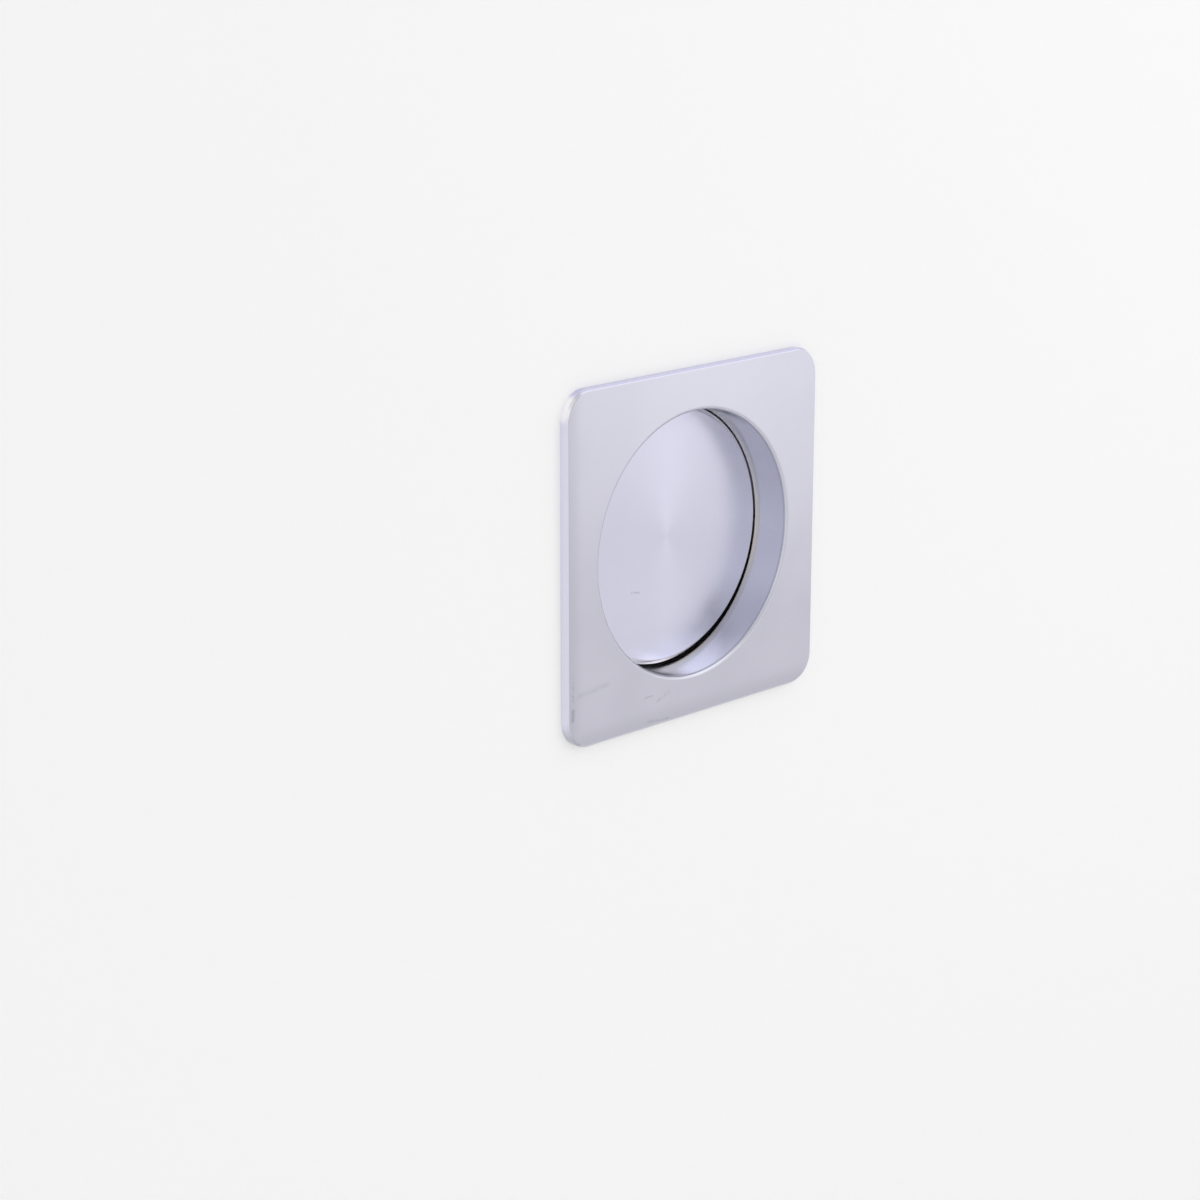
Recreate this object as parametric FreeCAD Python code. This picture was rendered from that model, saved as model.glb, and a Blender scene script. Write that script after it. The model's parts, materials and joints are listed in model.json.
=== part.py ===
import FreeCAD, Part
import math
import os

# Pocket door pull. A square face plate and a round finger cup, made in one piece, drop into a round
# hole in the door and are screwed down through the cup's floor. A turned disc, stuck to that floor
# with a foam pad, hides the screws and is what the fingers touch at the bottom of the recess.
# Millimetres. +Z is up and the face looks along -Y. The origin is on the cup's axis, in the plane
# where the back of the plate meets the door.

# Face plate
plate_side = 76.2
plate_thickness = 2.1
plate_corner_radius = 6.4
plate_edge_chamfer = 0.55

# Finger cup, with its depth measured from the plate's face to the disc's face
recess_diameter = 57.8
recess_depth = 8.85
rim_radius = 0.75
cup_wall = 1.1
cup_floor = 2.6
cup_lead_in = 0.8

# Cover disc, which was stuck in by hand and sits a little high in its clearance
disc_thickness = 2.4
disc_clearance = 0.4
disc_chamfer = 0.95
disc_lift_in_clearance = 0.5

# Foam pad that holds the disc
pad_thickness = 0.85
pad_set_back = 0.8

# Countersunk wood screws, one above the other
screw_spacing = 36.0
screw_diameter = 3.5
screw_neck_diameter = 2.7
screw_neck_length = 3.0
screw_head_diameter = 7.0
screw_head_angle = 90.0
screw_head_land = 0.3
screw_length = 20.0
screw_point_length = 4.5
screw_sink = 0.2
screw_hole_clearance = 0.25
drive_span = 3.8
drive_width = 0.8
drive_depth = 1.4

# Levels along Y, from the face inwards
face_y = -plate_thickness
disc_y = face_y + recess_depth
pad_y = disc_y + disc_thickness
floor_y = pad_y + pad_thickness
back_y = floor_y + cup_floor
screw_y = floor_y + screw_sink

# Radii, and how fast a screw head's cone narrows
recess_radius = recess_diameter / 2
cup_radius = recess_radius + cup_wall
disc_radius = recess_radius - disc_clearance
screw_radius = screw_diameter / 2
neck_radius = screw_neck_diameter / 2
head_radius = screw_head_diameter / 2
head_slope = math.tan(math.radians(screw_head_angle / 2))

disc_lift = disc_lift_in_clearance * disc_clearance
screw_heights = (screw_spacing / 2, -screw_spacing / 2)

INTO_DOOR = FreeCAD.Vector(0, 1, 0)
SAME_PLACE = 1e-4
MOST_OF_A_WALL = 0.8


def at(y, z=0.0):
    return FreeCAD.Vector(0, y, z)


def bar(radius, start, end, z=0.0):
    """A round bar along the cup's axis, or at height z beside it."""
    return Part.makeCylinder(radius, end - start, at(start, z), INTO_DOOR)


def turned(profile):
    """A body of revolution about the cup's axis, from corners given as (radius, y)."""
    corners = [FreeCAD.Vector(radius, y, 0) for radius, y in profile]
    section = Part.Face(Part.makePolygon(corners + corners[:1]))
    return section.revolve(at(0), INTO_DOOR, 360)


def rings(solid, radius, y):
    """The circular edges of this radius that lie at this depth."""
    circles = [edge for edge in solid.Edges if isinstance(edge.Curve, Part.Circle)]
    return [
        edge
        for edge in circles
        if abs(edge.Curve.Radius - radius) < SAME_PLACE and abs(edge.Curve.Center.y - y) < SAME_PLACE
    ]


def face_plate():
    """Square plate with round corners and a chamfered front edge."""
    half = plate_side / 2
    plate = Part.makeBox(plate_side, plate_thickness, plate_side, FreeCAD.Vector(-half, face_y, -half))
    corners = [edge for edge in plate.Edges if edge.BoundBox.YLength > plate_thickness / 2]
    plate = plate.makeFillet(plate_corner_radius, corners)
    outline = [edge for edge in plate.Edges if edge.BoundBox.YMax < face_y + SAME_PLACE]
    return plate.makeChamfer(min(plate_edge_chamfer, MOST_OF_A_WALL * plate_thickness), outline)


def screw_hole(z):
    """Clearance hole, countersunk to the same cone as the screw's head."""
    hole_radius = screw_radius + screw_hole_clearance
    mouth_radius = head_radius + head_slope * (screw_sink + screw_head_land)
    depth = (mouth_radius - hole_radius) / head_slope
    countersink = Part.makeCone(mouth_radius, hole_radius, depth, at(floor_y, z), INTO_DOOR)
    return countersink.fuse(bar(hole_radius, floor_y, back_y, z))


def pull_body():
    """Plate and cup in one piece, with the recess, its rounded rim and the screw holes."""
    cup = bar(cup_radius, 0, back_y)
    cup = cup.makeChamfer(cup_lead_in, rings(cup, cup_radius, back_y))
    body = face_plate().fuse(cup).cut(bar(recess_radius, face_y, floor_y))
    body = body.removeSplitter()
    rounding = min(rim_radius, MOST_OF_A_WALL * plate_thickness)
    body = body.makeFillet(rounding, rings(body, recess_radius, face_y))
    return body.cut([screw_hole(z) for z in screw_heights])


def cover_disc():
    """Turned disc with a wide chamfer round its face."""
    disc = bar(disc_radius, disc_y, pad_y, disc_lift)
    chamfer = min(disc_chamfer, MOST_OF_A_WALL * disc_thickness)
    return disc.makeChamfer(chamfer, rings(disc, disc_radius, disc_y))


def adhesive_pad():
    """Round pad of foam between the disc and the cup's floor, over the sunk screw heads."""
    return bar(disc_radius - pad_set_back, pad_y, floor_y, disc_lift)


def cross_drive():
    """Cross recess in a screw's head: two slots that close in towards their bottom."""
    half_span = drive_span / 2
    half_width = drive_width / 2
    cone = Part.makeCone(half_span, drive_width, drive_depth, at(screw_y), INTO_DOOR)
    tall = FreeCAD.Vector(-half_width, screw_y, -half_span)
    wide = FreeCAD.Vector(-half_span, screw_y, -half_width)
    slots = Part.makeBox(drive_width, drive_depth, drive_span, tall)
    slots = slots.fuse(Part.makeBox(drive_span, drive_depth, drive_width, wide))
    return cone.common(slots)


def fixing_screw(z):
    """Countersunk wood screw, its thread drawn as a plain bar of the outside diameter."""
    cone_y = screw_y + screw_head_land
    neck_y = cone_y + (head_radius - neck_radius) / head_slope
    thread_y = neck_y + screw_neck_length
    tip_y = screw_y + screw_length
    screw = turned([
        (0, screw_y),
        (head_radius, screw_y),
        (head_radius, cone_y),
        (neck_radius, neck_y),
        (neck_radius, thread_y),
        (screw_radius, thread_y),
        (screw_radius, tip_y - screw_point_length),
        (0, tip_y),
    ])
    screw = screw.cut(cross_drive())
    screw.translate(FreeCAD.Vector(0, 0, z))
    return screw


pieces = {
    "pull_body": pull_body(),
    "cover_disc": cover_disc(),
    "adhesive_pad": adhesive_pad(),
    "fixing_screws": Part.makeCompound([fixing_screw(z) for z in screw_heights]),
}

os.makedirs("parts", exist_ok=True)
for node, shape in pieces.items():
    shape.exportStep(f"parts/{node}.step")
    print(node, len(shape.Solids), "solids, valid", shape.isValid(), "volume", round(shape.Volume, 1))
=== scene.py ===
import json
import math

import bmesh
import bpy
from mathutils import Euler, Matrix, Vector


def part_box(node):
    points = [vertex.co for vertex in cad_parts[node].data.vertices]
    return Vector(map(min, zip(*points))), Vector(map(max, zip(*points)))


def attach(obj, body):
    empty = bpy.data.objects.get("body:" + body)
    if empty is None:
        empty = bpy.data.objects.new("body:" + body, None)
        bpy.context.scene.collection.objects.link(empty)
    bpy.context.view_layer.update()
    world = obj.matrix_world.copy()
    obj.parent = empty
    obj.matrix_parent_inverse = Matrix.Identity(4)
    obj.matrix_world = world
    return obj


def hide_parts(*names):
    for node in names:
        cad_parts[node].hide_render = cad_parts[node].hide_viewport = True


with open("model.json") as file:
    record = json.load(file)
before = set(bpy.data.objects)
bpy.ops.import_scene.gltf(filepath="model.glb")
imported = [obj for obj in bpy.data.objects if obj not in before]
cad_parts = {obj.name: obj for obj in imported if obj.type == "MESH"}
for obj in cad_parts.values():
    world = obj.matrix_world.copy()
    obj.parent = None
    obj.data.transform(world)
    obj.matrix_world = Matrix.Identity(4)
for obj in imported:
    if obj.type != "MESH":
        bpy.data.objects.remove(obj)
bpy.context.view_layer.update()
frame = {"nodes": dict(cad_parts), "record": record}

# Pocket door pull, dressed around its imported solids. The plate and cup keep their own mesh and get a
# satin plating. The cover disc, the foam pad and the wood screws are modelled here in more detail.
# Lengths are written in millimetres of the row frame: +Z is up and the face looks along -Y.

MM = 0.001


def node_box(node):
    """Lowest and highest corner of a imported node, in millimetres."""
    low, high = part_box(node)
    return low / MM, high / MM


# Sizes that the frame gives
body_low, body_high = node_box("pull_body")
disc_low, disc_high = node_box("cover_disc")
pad_low, pad_high = node_box("adhesive_pad")
screw_tip_y = node_box("fixing_screws")[1].y
mounts = {mount["name"]: mount for mount in frame["record"]["mounts"]}
cup_radius = mounts["cup_spigot"]["dims"]["r_mm"]
thread_radius = mounts["screws"]["dims"]["stud_r_mm"]
screw_spacing = mounts["screws"]["dims"]["spacing_y_mm"]

face_y = body_low.y
half_side = body_high.x
disc_face_y = disc_low.y
disc_radius = (disc_high.x - disc_low.x) / 2
disc_centre = (disc_low + disc_high) / 2
pad_radius = (pad_high.x - pad_low.x) / 2

# Sizes of the pull that its boxes don't show
cup_wall = 1.1
rim_radius = 0.75
edge_chamfer = 0.55
recess_radius = cup_radius - cup_wall

# Disc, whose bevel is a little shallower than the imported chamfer. It was stuck in a little to the right.
bevel_width = 0.95
bevel_drop = 0.66
disc_shift = 0.12

# Turn of a piece whose own Z points into the door
INTO_DOOR = Euler((-math.pi / 2, 0, 0))

# Corners round the circles of the disc, the pad and the backdrop
DISC_CORNERS = 288
PAD_CORNERS = 180
SHEET_CORNERS = 128

# Colours of the finishes, as linear light. Those named painted stand in for light and shade.
CHROME = (0.672, 0.665, 0.758, 1)
CHROME_SHADE = (0.645, 0.638, 0.730, 1)
RIM_PAINTED_SHADE = (0.585, 0.580, 0.665, 1)
EDGE_PAINTED_SHEEN = (0.800, 0.795, 0.920, 1)
TOP_EDGE_PAINTED_SHADE = (0.620, 0.610, 0.790, 1)
RECESS_CHROME = (0.700, 0.715, 0.780, 1)
RECESS_PAINTED_SHADE = (0.590, 0.602, 0.665, 1)
RECESS_FOOT_PAINTED_LIGHT = (0.810, 0.805, 0.840, 1)
WARM_PAINTED_REFLECTION = (0.850, 0.820, 0.790, 1)
DISC_CHROME = (0.738, 0.732, 0.875, 1)
DISC_CHROME_SHADE = (0.712, 0.707, 0.847, 1)
BEVEL_PAINTED_HIGHLIGHT = (0.960, 0.950, 0.980, 1)
PAINTED_GLINT = (0.980, 0.965, 1.0, 1)
DULL_CUT = (0.800, 0.795, 0.845, 1)
BARE_BACK = (0.50, 0.50, 0.55, 1)
BROWN_PAINTED_SHADE = (0.52, 0.46, 0.38, 1)
GAP_PAINTED_SHADE = (0.110, 0.105, 0.110, 1)
# Dark colour of scratches, nicks and a smudge, also used for painted shade and a dark painted reflection
SCUFF_AND_SHADE = (0.42, 0.42, 0.48, 1)
FOAM_WALLS = (0.030, 0.030, 0.032, 1)
FOAM_CELLS = (0.006, 0.006, 0.007, 1)
ZINC = (0.62, 0.61, 0.58, 1)
ZINC_BLOOM = (0.52, 0.53, 0.56, 1)

# Marks on the plate's face, each from one (x, z) to another, with its width and strength
SHORT_SCRATCH = (-11.5, -32.6), (-8.0, -31.2), 1.2, 0.35
LOW_SCRATCH = (-14.4, -36.6), (-8.2, -37.1), 0.9, 0.6
FINE_SCRATCH = (-15.4, -31.1), (-13.2, -31.0), 0.6, 0.6
LONG_SCUFF = (-35.2, -26.4), (-26.4, -25.5), 2.0, 1.0
EDGE_NICK = (-36.6, -29.3), (-36.7, -31.2), 1.7, 0.8
EDGE_RUB = (-36.6, -21.5), (-36.6, -27.3), 0.9, 0.55

# Marks on the disc's face: a smudge, and a dark painted reflection at its lower right
DISC_SMUDGE = (-10.6, -10.7), (-8.3, -11.2), 0.9, 1.0
DISC_PAINTED_REFLECTION = (14.4, -19.6), (15.4, -20.6), 11.0, 0.3

# Directions across the recess as (x, z): two where brownish painted shade lies on the wall, one where painted
# shade fills the gap, and one where the disc's bevel has a painted highlight
BROWN_SHADE_SIDE = (0.57, -0.82)
LOW_BROWN_SHADE_SIDE = (0.34, -0.94)
SHADED_GAP_SIDE = (0.6, -0.8)
BEVEL_HIGHLIGHT_SIDE = (-0.6, -1.0)

# Room light from all round, what comes on top from above, and what is missing high in front
ROOM_LIGHT = 0.82
SKY_LIGHT = 0.06
FRONT_DIMMING = 0.2

# Soft lamps: name, place, the point they face, width, height, and glow, where 1 is white
SOFT_BOXES = [
    ("large soft box", (246, -339, 272), (0, 0, 0), 320, 320, 0.26),
    ("small soft box", (330, -342, 154), (0, 0, 0), 180, 140, 0.26),
    ("tall soft box", (327, -309, 17), (0, 0, 17), 160, 265, 0.15),
    ("strip soft box", (316, -298, 85), (0, 0, 85), 77, 314, 0.17),
    ("ceiling soft box", (272, -157, 389), (0, 0, 0), 400, 300, 0.17),
]


class Signal:
    """An output in a node tree that takes part in sums like a number. Each operator adds a Math node."""

    def __init__(self, tree, socket=None):
        self.tree = tree
        self.socket = socket

    def node(self, kind, settings=(), sockets=(), output=0):
        """Adds a node. Its settings are set first, then its sockets get their values or links."""
        made = self.tree.nodes.new("ShaderNode" + kind)
        for name, value in dict(settings).items():
            setattr(made, name, value)
        for name, value in dict(sockets).items():
            self.feed(made.inputs[name], value)
        return Signal(self.tree, made.outputs[output])

    def feed(self, socket, value):
        if isinstance(value, Signal):
            self.tree.links.new(value.socket, socket)
        else:
            socket.default_value = value

    def beside(self, output):
        """Another output of the same node."""
        return Signal(self.tree, self.socket.node.outputs[output])

    def math(self, operation, *operands):
        return self.node("Math", {"operation": operation}, enumerate(operands))

    def __add__(self, other):
        return self.math("ADD", self, other)

    def __radd__(self, other):
        return self.math("ADD", other, self)

    def __sub__(self, other):
        return self.math("SUBTRACT", self, other)

    def __rsub__(self, other):
        return self.math("SUBTRACT", other, self)

    def __mul__(self, other):
        return self.math("MULTIPLY", self, other)

    def __rmul__(self, other):
        return self.math("MULTIPLY", other, self)

    def __pow__(self, other):
        return self.math("POWER", self, other)

    def __abs__(self):
        return self.math("ABSOLUTE", self)

    def least(self, other):
        return self.math("MINIMUM", self, other)

    def most(self, other):
        return self.math("MAXIMUM", self, other)

    def ramp(self, none, full):
        """0 where the signal is at none, 1 where it is at full, and smooth between them."""
        sockets = {"Value": self, "From Min": none, "From Max": full}
        return self.node("MapRange", {"interpolation_type": "SMOOTHSTEP"}, sockets)

    def colour(self, none, full):
        """A colour that goes from none to full as this mask goes from 0 to 1."""
        sockets = {"Factor": self, 6: none, 7: full}
        return self.node("Mix", {"data_type": "RGBA"}, sockets, output=2)


def noise(point, per_mm, detail=2.0):
    """Cloudy pattern from 0 to 1 with this many features in a millimetre."""
    return point.node("TexNoise", sockets={"Vector": point, "Scale": per_mm, "Detail": detail})


def lines(across, per_mm):
    """Fine lines that run at right angles to the given distance, from 0 to 1."""
    sockets = {"W": across, "Scale": per_mm, "Detail": 3.0}
    return across.node("TexNoise", {"noise_dimensions": "1D"}, sockets)


def stroke(x, z, mark):
    """Mask of a mark along a straight line, which fades over its half width."""
    start, end, width, strength = mark
    run = Vector(end) - Vector(start)
    way = run.normalized()
    from_x, from_z = x - start[0], z - start[1]
    along = (from_x * way.x + from_z * way.y).most(0).least(run.length)
    off_x, off_z = from_x - along * way.x, from_z - along * way.y
    return ((off_x * off_x + off_z * off_z) ** 0.5).ramp(width / 2, 0) * strength


def toward(x, z, way):
    """How far a point lies in one direction across the recess."""
    return x * way[0] + z * way[1]


def new_finish(name, **fixed):
    """A new material, where its nodes start, and its shader with the sockets that stay the same all over."""
    material = bpy.data.materials.new(name)
    material.use_nodes = True
    shader = material.node_tree.nodes["Principled BSDF"]
    for socket, value in fixed.items():
        shader.inputs[socket.replace("_", " ")].default_value = value
    return material, Signal(material.node_tree), shader


def place(start):
    """The point on the piece in millimetres of its own axes, then x, y and z by themselves."""
    metres = start.node("TexCoord", output="Object")
    point = start.node("VectorMath", {"operation": "SCALE"}, {0: metres, "Scale": 1 / MM})
    x = start.node("SeparateXYZ", sockets={0: point})
    return point, x, x.beside("Y"), x.beside("Z")


def dress(start, shader, colour, roughness, height):
    """Feeds a finish's shader. The height is in millimetres."""
    start.feed(shader.inputs["Base Color"], colour)
    start.feed(shader.inputs["Roughness"], roughness)
    relief = start.node("Bump", sockets={"Height": height, "Distance": MM})
    start.feed(shader.inputs["Normal"], relief)


def face_marks(point, x, y, z):
    """Masks of the scratches and of the nicks beside the left edge, only on the plate's front."""
    front = y.ramp(face_y + 0.4, face_y + 0.1)
    broken = noise(point, 1.1).ramp(0.35, 0.6)
    scratch = (stroke(x, z, SHORT_SCRATCH) + stroke(x, z, LOW_SCRATCH)) * broken
    scratch = scratch + stroke(x, z, FINE_SCRATCH)
    scratch = scratch + stroke(x, z, LONG_SCUFF) * (0.12 + broken * 0.13)
    nick = stroke(x, z, EDGE_NICK).most(stroke(x, z, EDGE_RUB) * broken)
    return scratch * front, nick * front


def wall_foot(x, y, z):
    """Masks of the recess wall close to the disc: painted light, brownish painted shade, and painted shade in
    the gap.
    """
    above_gap = disc_face_y + bevel_drop - y
    brown_shade_mask = toward(x, z, BROWN_SHADE_SIDE).ramp(0.76 * recess_radius, recess_radius)
    low_brown_shade_mask = toward(x, z, LOW_BROWN_SHADE_SIDE).ramp(0.94 * recess_radius, 0.985 * recess_radius)
    gap_shade_mask = toward(x, z, SHADED_GAP_SIDE).ramp(0.3 * recess_radius, 0.9 * recess_radius)
    low = z.ramp(1.5 * recess_radius, -0.2 * recess_radius)
    # Painted light on the wall just above the gap, more towards the bottom
    painted_foot_light = above_gap.ramp(2.2, 1.0) * (1 - brown_shade_mask) * low
    # Brownish painted shade on the wall next to the gap
    painted_brown_shade = above_gap.ramp(1.5, 0.0) * brown_shade_mask * 0.4
    painted_brown_shade = painted_brown_shade.most(above_gap.ramp(2.6, 0.3) * low_brown_shade_mask * 0.55)
    # Painted shade in the gap below the disc's face
    gap = above_gap.ramp(-0.1, -0.4) * gap_shade_mask
    return painted_foot_light, painted_brown_shade, gap


def plate_colour(cloud, edge, x, y, z):
    """Colour of the plate: painted shade near its left and lower rim, and a painted sheen round its edge.

    The edge has painted shade along the top and along the bottom, and a painted glint on its upper left
    corner.
    """
    # Painted shade near the plate's left and lower rim
    painted_rim_shade = (0 - x).most(0 - z).ramp(half_side - 5.0, half_side - edge_chamfer)
    lip = y.ramp(face_y + 0.15, face_y + 0.3)
    # Painted shade along the top edge, behind its front lip
    painted_top_shade = edge * lip * z.ramp(half_side - 1.5, half_side - 0.4)
    # Painted shade along the bottom edge
    painted_low_shade = edge * (0 - z).ramp(half_side - 6.5, half_side - 1.5)
    # Painted glint on the upper left corner
    corner = edge * (z - x).ramp(2 * half_side - 7.0, 2 * half_side - 5.0)
    corner = corner * (0 - z - x).ramp(-2.0, 0.0)

    colour = cloud.ramp(0.3, 0.7).colour(CHROME_SHADE, CHROME)
    colour = painted_rim_shade.colour(colour, RIM_PAINTED_SHADE)
    # Painted sheen on the edge all round
    colour = edge.colour(colour, EDGE_PAINTED_SHEEN)
    colour = painted_top_shade.colour(colour, TOP_EDGE_PAINTED_SHADE)
    colour = corner.colour(colour, PAINTED_GLINT)
    return (painted_low_shade * 0.7).colour(colour, SCUFF_AND_SHADE)


def satin_chrome():
    """Plating of the plate and cup: satin in front, turned in the recess and dull behind, with its wear and
    painted light and shade.
    """
    material, start, shader = new_finish("satin chrome", Metallic=1.0)
    point, x, y, z = place(start)
    radius = (x * x + z * z) ** 0.5

    behind = y.ramp(-0.06, -0.01) * radius.ramp(recess_radius + 0.1, recess_radius + 0.5)
    behind = behind.most(y.ramp(body_high.y - 1.5, body_high.y - 1.2))
    recess = radius.ramp(recess_radius + 0.4 * rim_radius, recess_radius + 0.1) * (1 - behind)
    edge = y.ramp(face_y + 0.05, face_y + 0.1) * radius.ramp(cup_radius, cup_radius + 2)
    cloud = noise(point, 0.06)
    grain = noise(point, 7.0)
    scratch, nick = face_marks(point, x, y, z)
    # Painted light on the wall's foot, brownish painted shade beside the gap, and painted shade in the gap
    painted_foot_light, painted_brown_shade, gap = [recess * mask for mask in wall_foot(x, y, z)]
    # Painted shade in a thin line where the rim meets the recess wall
    rim_line_painted_shade = recess * abs(y - face_y - rim_radius - 0.1).ramp(0.2, 0.05)

    # Painted shade on the upper part of the recess wall
    painted_upper_shade = z.ramp(-0.2 * recess_radius, 0.7 * recess_radius)
    # Warm painted reflection on the wall's foot at the lower right
    painted_warm_reflection = z.ramp(0.5 * recess_radius, -0.2 * recess_radius) * x.ramp(0.0, 0.5 * recess_radius)
    colour = plate_colour(cloud, edge, x, y, z)
    colour = recess.colour(colour, painted_upper_shade.colour(RECESS_CHROME, RECESS_PAINTED_SHADE))
    colour = painted_foot_light.colour(colour, painted_warm_reflection.colour(RECESS_FOOT_PAINTED_LIGHT, WARM_PAINTED_REFLECTION))
    colour = behind.colour(colour, BARE_BACK)
    colour = painted_brown_shade.colour(colour, BROWN_PAINTED_SHADE)
    colour = scratch.most(nick).most(rim_line_painted_shade * 0.5).colour(colour, SCUFF_AND_SHADE)
    colour = gap.colour(colour, GAP_PAINTED_SHADE)

    roughness = 0.2 + (cloud - 0.5) * 0.06 + (grain - 0.5) * 0.05
    roughness = roughness - edge * 0.05 - recess * 0.03 + behind * 0.22
    roughness = roughness + scratch * 0.15 + nick * 0.2 + gap * 0.4

    turning = lines(y, 3.0) * recess.most(behind)
    height = grain * 0.0008 + turning * 0.0015 - nick * 0.04 - scratch * 0.01
    dress(start, shader, colour, roughness, height)
    return material


def turned_chrome():
    """Plating of the disc, whose turning lines run round its centre.

    The disc's own Z is its axis, and its own Y points down.
    """
    material, start, shader = new_finish(
        "turned chrome", Metallic=1.0, Anisotropic=0.8, Anisotropic_Rotation=0.25
    )
    point, x, down = place(start)[:3]
    up = 0 - down
    radius = (x * x + up * up) ** 0.5

    rings = lines(radius, 2.5)
    cloud = noise(point, 0.05)
    outside_flat = radius - (disc_radius - bevel_width)
    bevel = outside_flat.ramp(-0.03, 0.03)
    to_bevel_highlight = toward(x, up, BEVEL_HIGHLIGHT_SIDE)
    # Painted highlight on the bevel at the lower left
    bevel_highlight_mask = bevel * to_bevel_highlight.ramp(0.87 * disc_radius, 1.08 * disc_radius)
    # Brownish painted shade along the bevel's inner crease at the lower left
    crease_painted_shade = abs(outside_flat + 0.05).ramp(0.2, 0.05) * to_bevel_highlight.ramp(0.8 * disc_radius, disc_radius)
    side = radius.ramp(disc_radius - 0.05, disc_radius)
    # Painted shade on the disc's side where it lies in the gap
    gap_shade_mask = side * toward(x, up, SHADED_GAP_SIDE).ramp(0.3 * disc_radius, 0.9 * disc_radius)
    smudge = stroke(x, up, DISC_SMUDGE) * noise(point, 1.8).ramp(0.4, 0.6)
    # Dark painted reflection at the disc's lower right
    painted_dark_reflection = stroke(x, up, DISC_PAINTED_REFLECTION) * noise(point, 0.25).ramp(0.2, 0.6)

    colour = cloud.ramp(0.3, 0.7).colour(DISC_CHROME_SHADE, DISC_CHROME)
    colour = (smudge * 0.45).most(painted_dark_reflection).colour(colour, SCUFF_AND_SHADE)
    colour = bevel.colour(colour, DULL_CUT)
    colour = (crease_painted_shade * 0.4).colour(colour, BROWN_PAINTED_SHADE)
    colour = bevel_highlight_mask.colour(colour, BEVEL_PAINTED_HIGHLIGHT)
    colour = gap_shade_mask.colour(colour, GAP_PAINTED_SHADE)
    roughness = 0.26 + (cloud - 0.5) * 0.04 + (rings - 0.5) * 0.03 + smudge * 0.15
    roughness = roughness - bevel * 0.16 + side * 0.4
    height = rings * 0.0002
    dress(start, shader, colour, roughness, height)
    return material


def black_foam():
    """Closed-cell foam: small cells with thin walls between them."""
    material, start, shader = new_finish("black foam", Metallic=0.0)
    point = place(start)[0]
    cells = start.node("TexVoronoi", sockets={"Vector": point, "Scale": 4.0})
    colour = cells.ramp(0.1, 0.5).colour(FOAM_CELLS, FOAM_WALLS)
    roughness = 0.95 - cells * 0.15
    height = cells * 0.05
    dress(start, shader, colour, roughness, height)
    return material


def zinc_plated_steel():
    """Bright zinc with the dull bloom that forms on it."""
    material, start, shader = new_finish("zinc plated steel", Metallic=1.0)
    point = place(start)[0]
    bloom = noise(point, 0.5, detail=4.0).ramp(0.4, 0.65)
    grain = noise(point, 9.0)
    colour = bloom.colour(ZINC, ZINC_BLOOM)
    roughness = 0.28 + bloom * 0.12 + (grain - 0.5) * 0.1
    height = grain * 0.004
    dress(start, shader, colour, roughness, height)
    return material


def pale_stage(name, shade, lift):
    """Matt pale paint of the floor and backdrop, which look paler by the lift than their light makes them.

    It isn't there for anyone who looks from behind.
    """
    material, start, shader = new_finish(name, Roughness=1.0, Specular_IOR_Level=0.0, Emission_Strength=1.0)
    mottle = noise(place(start)[0], 0.004)
    low, high = [(level, level, level, 1) for level in (shade - 0.01, shade + 0.01)]
    start.feed(shader.inputs["Base Color"], mottle.colour(low, high))
    seen = start.node("LightPath", output="Is Camera Ray")
    seen = seen.most(seen.beside("Is Glossy Ray")).most(seen.beside("Is Transmission Ray"))
    start.feed(shader.inputs["Emission Color"], seen.colour((0, 0, 0, 1), (lift, lift, lift, 1)))
    behind = start.node("NewGeometry", output="Backfacing")
    clear = start.node("BsdfTransparent")
    paint = Signal(material.node_tree, shader.outputs[0])
    one_sided = start.node("MixShader", sockets={0: behind, 1: paint, 2: clear})
    start.feed(material.node_tree.nodes["Material Output"].inputs["Surface"], one_sided)
    return material


def new_object(name, shape, material):
    """Turns a finished bmesh into an object with flat faces."""
    mesh = bpy.data.meshes.new(name)
    shape.to_mesh(mesh)
    shape.free()
    mesh.materials.append(material)
    made = bpy.data.objects.new(name, mesh)
    bpy.context.scene.collection.objects.link(made)
    return made


def new_piece(name, shape, material, sharp_angle=30):
    """Turns a finished bmesh into a piece with smooth faces and sharp corners."""
    bmesh.ops.recalc_face_normals(shape, faces=shape.faces)
    piece = new_object(name, shape, material)
    piece.data.shade_smooth()
    piece.data.set_sharp_from_angle(angle=math.radians(sharp_angle))
    return piece


def skin(shape, rings):
    """Joins closed rings of corners, each to the next, and closes both ends."""
    rows = [[shape.verts.new(Vector(corner) * MM) for corner in ring] for ring in rings]
    for row, after in zip(rows, rows[1:]):
        count = len(row)
        for i in range(count):
            j = (i + 1) % count
            shape.faces.new((row[i], row[j], after[j], after[i]))
    shape.faces.new(rows[0])
    shape.faces.new(rows[-1])


def ring(radius, depth, count):
    """Corners of a circle about the piece's own Z axis. The radius may follow the angle."""
    angles = [2 * math.pi * i / count for i in range(count)]
    radii = [radius(angle) if callable(radius) else radius for angle in angles]
    return [(r * math.cos(a), r * math.sin(a), depth) for r, a in zip(radii, angles)]


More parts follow.
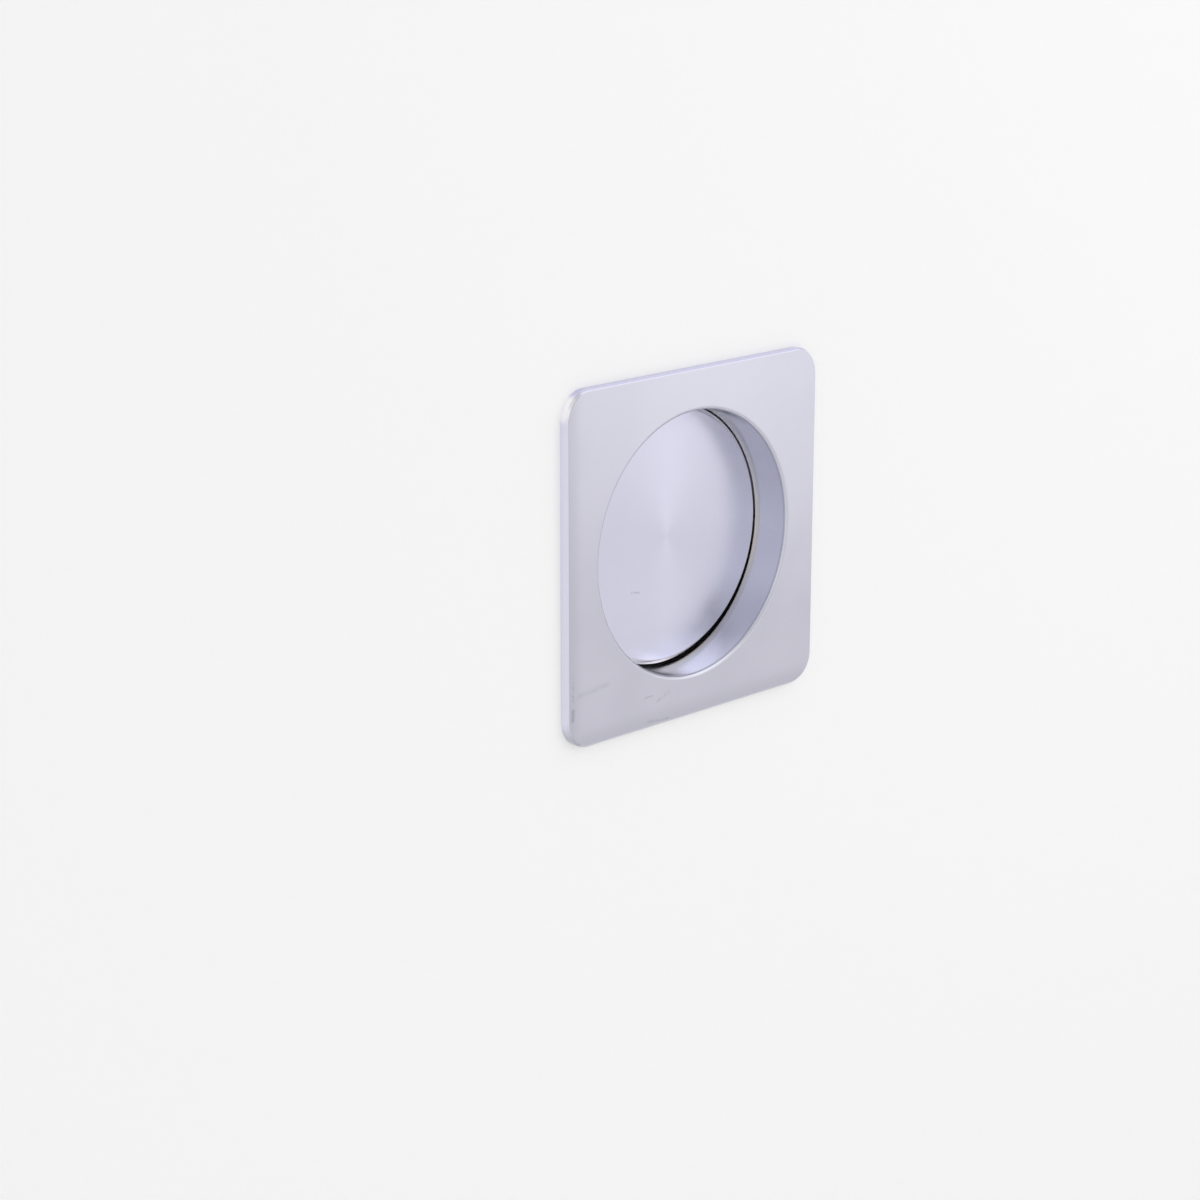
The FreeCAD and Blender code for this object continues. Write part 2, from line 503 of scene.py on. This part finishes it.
def cover_disc(material):
    """Turned disc with a bevel round its face, its corners eased."""
    thickness = disc_high.y - disc_low.y
    ease = 0.06
    middle = 0.5
    flat = disc_radius - bevel_width
    slope = bevel_drop / bevel_width
    profile = [
        (middle, 0),
        (flat - 2 * ease, 0),
        (flat - ease, 0),
        (flat, slope * ease / 2),
        (flat + ease, slope * 1.5 * ease),
        (disc_radius - 2 * ease, slope * (bevel_width - 1.5 * ease)),
        (disc_radius - ease, slope * (bevel_width - 0.5 * ease)),
        (disc_radius, bevel_drop + 1.5 * ease),
        (disc_radius, bevel_drop + 2.5 * ease),
        (disc_radius, thickness - ease),
        (disc_radius - ease, thickness),
    ]
    shape = bmesh.new()
    skin(shape, [ring(radius, depth, DISC_CORNERS) for radius, depth in profile])
    piece = new_piece("turned_cover_disc", shape, material)
    piece.location = Vector((disc_shift, disc_face_y, disc_centre.z)) * MM
    piece.rotation_euler = INTO_DOOR
    return piece


def foam_pad(material):
    """Pad cut out by hand, whose edge bulges where it is squeezed."""
    thickness = pad_high.y - pad_low.y
    bulge = 0.22
    wander = 0.08
    layers = 6

    def cut_edge(share):
        pulled_in = bulge * (2 * share - 1) ** 2

        def radius(angle):
            wave = math.sin(3 * angle + 0.4) + 0.6 * math.sin(7 * angle + 2.1) + 0.4 * math.sin(17 * angle)
            return pad_radius - pulled_in - wander * (1 + wave / 2)

        return radius

    shares = [layer / layers for layer in range(layers + 1)]
    shape = bmesh.new()
    skin(shape, [ring(cut_edge(share), share * thickness, PAD_CORNERS) for share in shares])
    piece = new_piece("foam_pad", shape, material, sharp_angle=60)
    piece.location = Vector((0, pad_low.y, disc_centre.z)) * MM
    piece.rotation_euler = INTO_DOOR
    return piece


def add_thread(shape, thread_start, taper_start, tip, z):
    """Rolled wood-screw thread about a screw's axis at height z: a ridge that winds down to the point.

    The ridge is given over one pitch: shares of the pitch, with heights from 0 at its root to 1 at its crest.
    """
    pitch = 1.4
    root_share = 0.68
    tip_share = 0.02
    run_in = 1.0
    steps = 36
    ridge = [(0.0, 0.0), (0.34, 0.0), (0.48, 1.0), (0.52, 1.0), (0.66, 0.0)]
    turns = math.ceil((tip - thread_start) / pitch) + 1

    def corner(turn, share, height, step):
        y = thread_start + pitch * (turn + share + step / steps)
        y = min(max(y, thread_start), tip)
        outside = thread_radius * min(1.0, max(tip_share, (tip - y) / (tip - taper_start)))
        root = root_share * outside
        rise = height * min(1.0, (y - thread_start) / run_in)
        radius = root + (outside - root) * rise
        angle = 2 * math.pi * step / steps
        return Vector((radius * math.cos(angle), y, z + radius * math.sin(angle))) * MM

    rows = [
        [shape.verts.new(corner(turn, share, height, step)) for step in range(steps + 1)]
        for turn in range(-1, turns)
        for share, height in ridge
    ]
    for row, after in zip(rows, rows[1:]):
        for i in range(steps):
            shape.faces.new((row[i], row[i + 1], after[i + 1], after[i]))


def wood_screws(material):
    """Both screws: head and neck as packed, and a thread in place of the plain bar."""
    packed = frame["nodes"]["fixing_screws"].data
    half = screw_spacing / 2
    near = 0.01
    same_place = 0.001 * MM
    on_bar = [
        v.co.y / MM
        for v in packed.vertices
        if abs(math.hypot(v.co.x / MM, abs(v.co.z / MM) - half) - thread_radius) < near
    ]
    thread_start, taper_start = min(on_bar), max(on_bar)
    shape = bmesh.new()
    shape.from_mesh(packed)
    bar = [f for f in shape.faces if f.calc_center_median().y > (thread_start - near) * MM]
    bmesh.ops.delete(shape, geom=bar, context="FACES")
    for z in (half, -half):
        add_thread(shape, thread_start, taper_start, screw_tip_y, z)
    bmesh.ops.remove_doubles(shape, verts=shape.verts, dist=same_place)
    bmesh.ops.dissolve_degenerate(shape, edges=shape.edges, dist=same_place)
    return new_piece("threaded_wood_screws", shape, material, sharp_angle=40)


def backdrop(material):
    """Upright pale sheet with a round hole for the cup, just in front of the plate's back face."""
    hole_radius = cup_radius + 0.3
    sheet_radius = 3000
    sheet_y = -0.02
    shape = bmesh.new()
    rims = [ring(radius, 0, SHEET_CORNERS) for radius in (hole_radius, sheet_radius)]
    inner, outer = [
        [shape.verts.new(Vector((x, sheet_y, z)) * MM) for x, z, _ in rim] for rim in rims
    ]
    for i in range(len(inner)):
        j = (i + 1) % len(inner)
        shape.faces.new((inner[i], outer[i], outer[j], inner[j]))
    return new_object("backdrop", shape, material)


def floor(material):
    """Pale floor, as far below the pull as it is on a real door."""
    level, reach = -1000, 6000
    corners = [(-reach, -reach), (reach, -reach), (reach, reach), (-reach, reach)]
    shape = bmesh.new()
    shape.faces.new([shape.verts.new(Vector((x, y, level)) * MM) for x, y in corners])
    return new_object("floor", shape, material)


def studio_world():
    """Soft even room light, a little brighter from above and dimmer from high in front."""
    world = bpy.data.worlds.new("soft studio")
    world.use_nodes = True
    start = Signal(world.node_tree)
    direction = start.node("TexCoord", output="Generated")
    x = start.node("SeparateXYZ", sockets={0: direction})
    y, z = x.beside("Y"), x.beside("Z")
    high_in_front = (x * -0.15 + y * -0.65 + z * 0.74).ramp(0.8, 1.0)
    shine = world.node_tree.nodes["Background"]
    start.feed(shine.inputs["Color"], (1, 1, 1, 1))
    strength = ROOM_LIGHT + z.ramp(0.0, 0.5) * SKY_LIGHT - high_in_front * FRONT_DIMMING
    start.feed(shine.inputs["Strength"], strength)
    bpy.context.scene.world = world


def soft_box(name, position, aim, width, height, glow):
    """Flat soft lamp, which the camera doesn't see."""
    lamp = bpy.data.lights.new(name, "AREA")
    lamp.shape = "RECTANGLE"
    lamp.size, lamp.size_y = width * MM, height * MM
    lamp.energy = glow * math.pi * lamp.size * lamp.size_y
    box = bpy.data.objects.new(name, lamp)
    box.location = Vector(position) * MM
    box.rotation_euler = (Vector(aim) - Vector(position)).to_track_quat("-Z", "Y").to_euler()
    box.visible_camera = False
    bpy.context.scene.collection.objects.link(box)


def photo_camera():
    """Camera that sees the pull from the left and a little above."""
    azimuth, elevation = math.radians(-44.645), math.radians(15.683)
    aim = Vector((-28.75, face_y, -6.74))
    distance = 593.2
    back = Vector((
        math.sin(azimuth) * math.cos(elevation),
        -math.cos(azimuth) * math.cos(elevation),
        math.sin(elevation),
    ))
    lens = bpy.data.cameras.new("camera")
    lens.lens = 85.98
    camera = bpy.data.objects.new("camera", lens)
    camera.location = (aim + back * distance) * MM
    camera.rotation_euler = (-back).to_track_quat("-Z", "Y").to_euler()
    bpy.context.scene.collection.objects.link(camera)
    bpy.context.scene.camera = camera


frame["nodes"]["pull_body"].data.materials.clear()
frame["nodes"]["pull_body"].data.materials.append(satin_chrome())

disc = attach(cover_disc(turned_chrome()), "root")
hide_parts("cover_disc")

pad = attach(foam_pad(black_foam()), "root")
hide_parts("adhesive_pad")

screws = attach(wood_screws(zinc_plated_steel()), "root")
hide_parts("fixing_screws")

backdrop(pale_stage("pale backdrop", 0.86, 0.225))
floor(pale_stage("pale floor", 0.86, 0.12))
studio_world()
for box in SOFT_BOXES:
    soft_box(*box)
photo_camera()
bpy.context.scene.view_settings.view_transform = "Standard"
